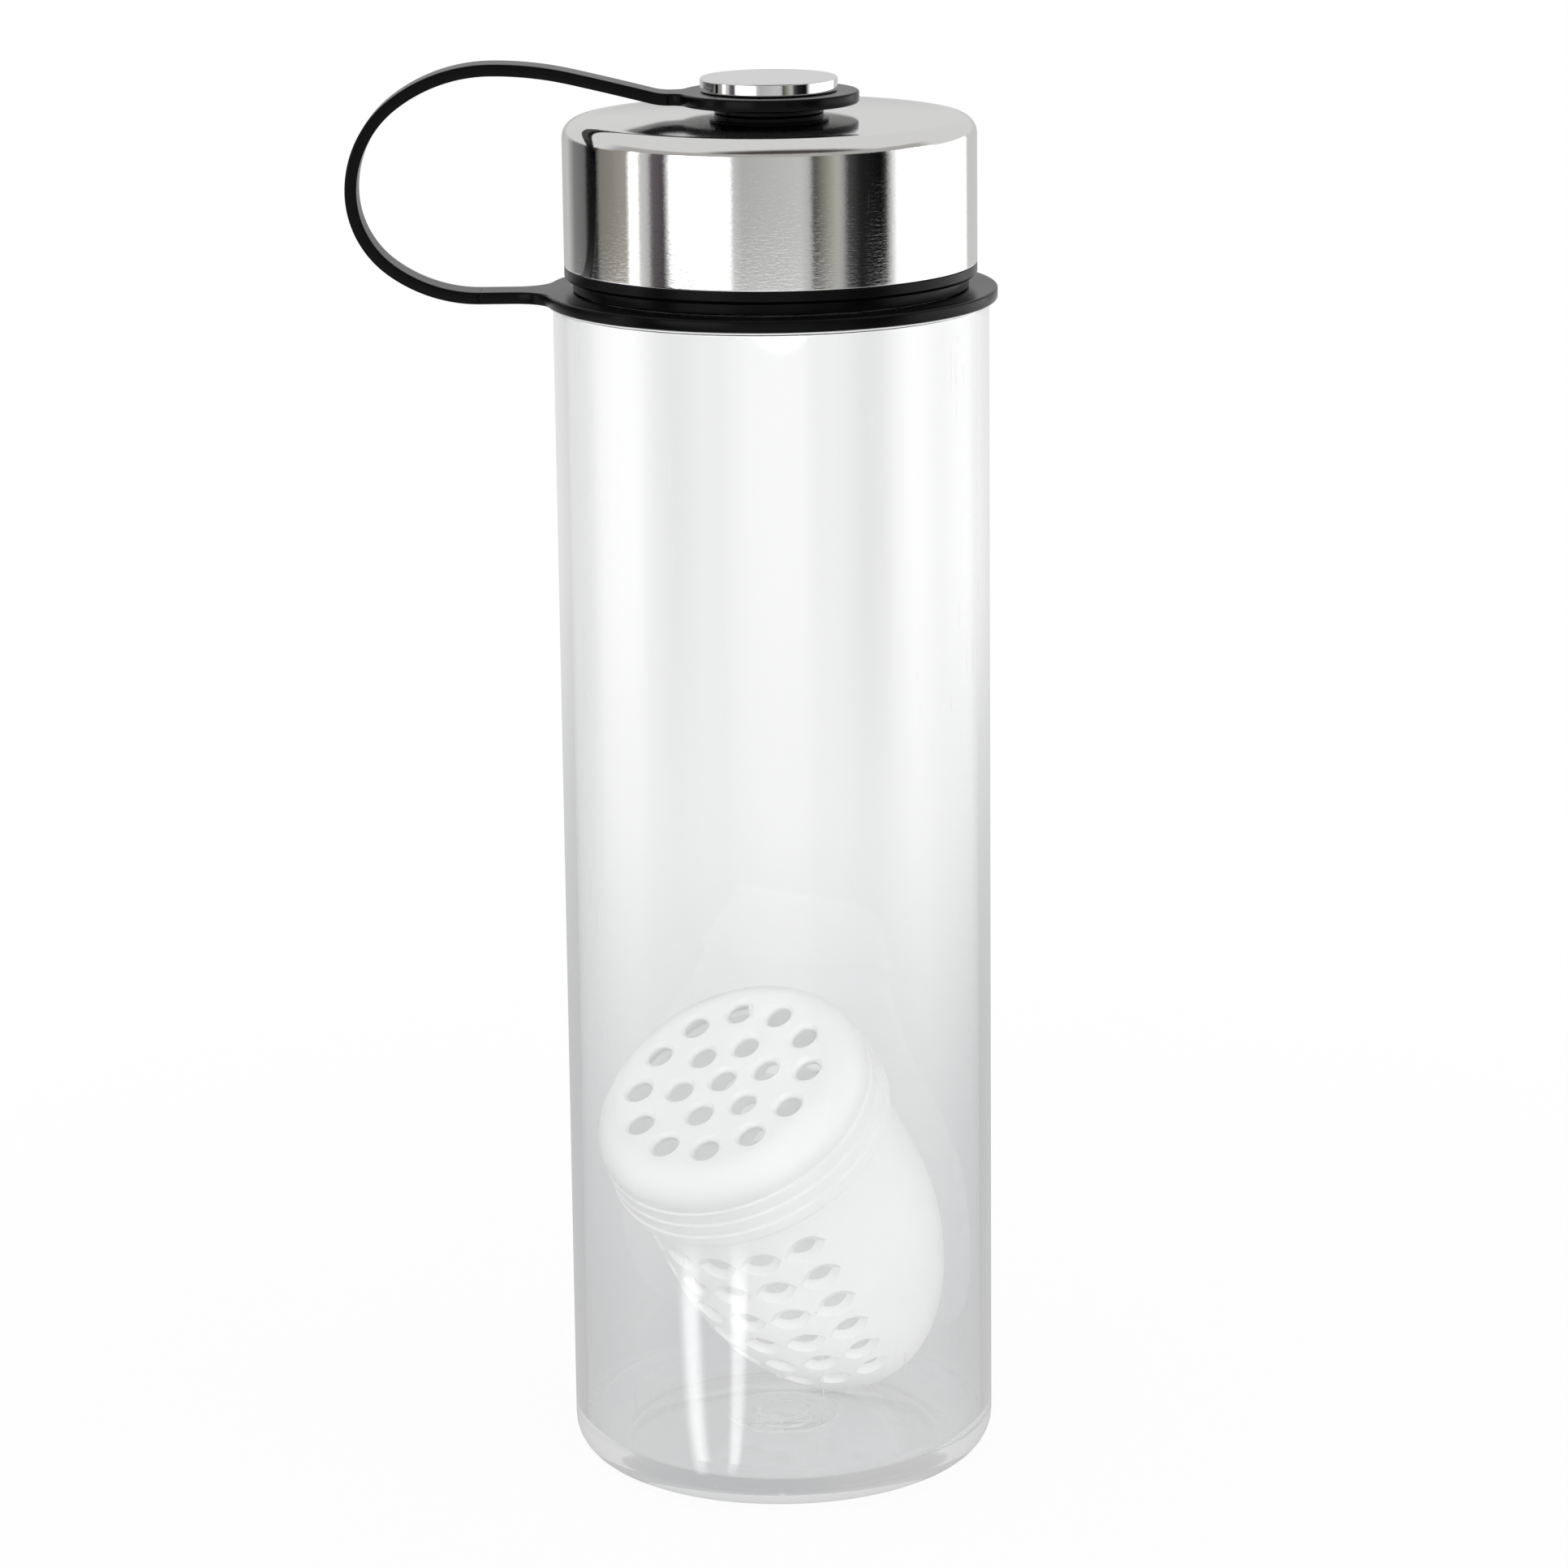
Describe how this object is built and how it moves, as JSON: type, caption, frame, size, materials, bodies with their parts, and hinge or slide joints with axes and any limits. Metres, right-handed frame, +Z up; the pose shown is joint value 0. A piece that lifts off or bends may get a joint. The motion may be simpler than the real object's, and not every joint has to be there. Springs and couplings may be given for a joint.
{
  "type": "fruit infuser water bottle",
  "caption": "Clear wide-neck water bottle with a steel-covered screw cap, a flat black tether with a carry loop, and a loose perforated fruit capsule inside.",
  "frame": {"origin": "on the bottle's axis, in the plane of the foot ring that it stands on", "axes": "+Z up along the bottle's axis, -X towards the carry loop, -Y towards the viewer of the picture"},
  "size_m": [0.1085, 0.0758, 0.2424],
  "materials": {
    "clear_plastic": "clear, polished, blown",
    "black_tether": "smooth glossy black elastomer",
    "black_plastic": "moulded black, semi-gloss",
    "polished_steel": "polished, very fine circumferential lines",
    "chromed_button": "mirror",
    "screw_steel": "plain stainless",
    "seal_silicone": "matte translucent white",
    "frosted_plastic": "frosted translucent white"
  },
  "bodies": {
    "bottle": {"bottle_body": "clear_plastic"},
    "tether_ring": {"neck_ring": "black_tether"},
    "tether_eye": {"eyelet": "black_tether", "loop_strap": "black_tether"},
    "seal": {"seal_ring": "seal_silicone"},
    "cap": {"inner_cap": "black_plastic", "steel_cover": "polished_steel", "post": "black_plastic", "button": "chromed_button", "screw_washer": "seal_silicone", "post_screw": "screw_steel"},
    "infuser_cup": {"infuser_cup": "frosted_plastic"},
    "infuser_lid": {"infuser_lid": "frosted_plastic"}
  },
  "joints": [
    {"name": "tether_swivel", "type": "hinge", "parent": "bottle", "child": "tether_ring", "pos_m": [0, 0, 0.2035], "axis": [0, 0, 1], "continuous": true},
    {"name": "cap_lift", "type": "slide", "parent": "bottle", "child": "seal", "axis": [0, 0, 1], "range_m": [0, 0.0061]},
    {"name": "cap_turn", "type": "hinge", "parent": "seal", "child": "cap", "pos_m": [0, 0, 0.22], "axis": [0, 0, 1], "range_deg": [0, 540]},
    {"name": "eyelet_lift", "type": "slide", "parent": "tether_ring", "child": "tether_eye", "axis": [0, 0, 1], "range_m": [0, 0.0061]},
    {"name": "infuser_rise", "type": "slide", "parent": "bottle", "child": "infuser_cup", "axis": [0, 0, 1], "range_m": [0, 0.1325]},
    {"name": "infuser_lid_turn", "type": "hinge", "parent": "infuser_cup", "child": "infuser_lid", "pos_m": [-0.00987, -0.01255, 0.07031], "axis": [-0.3501, -0.4449, 0.8244], "range_deg": [0, 90]}
  ],
  "couplings": [
    {"joint": "cap_lift", "follows": "cap_turn", "m_per_rad": 0.00063662},
    {"joint": "eyelet_lift", "follows": "cap_turn", "m_per_rad": 0.00063662}
  ]
}
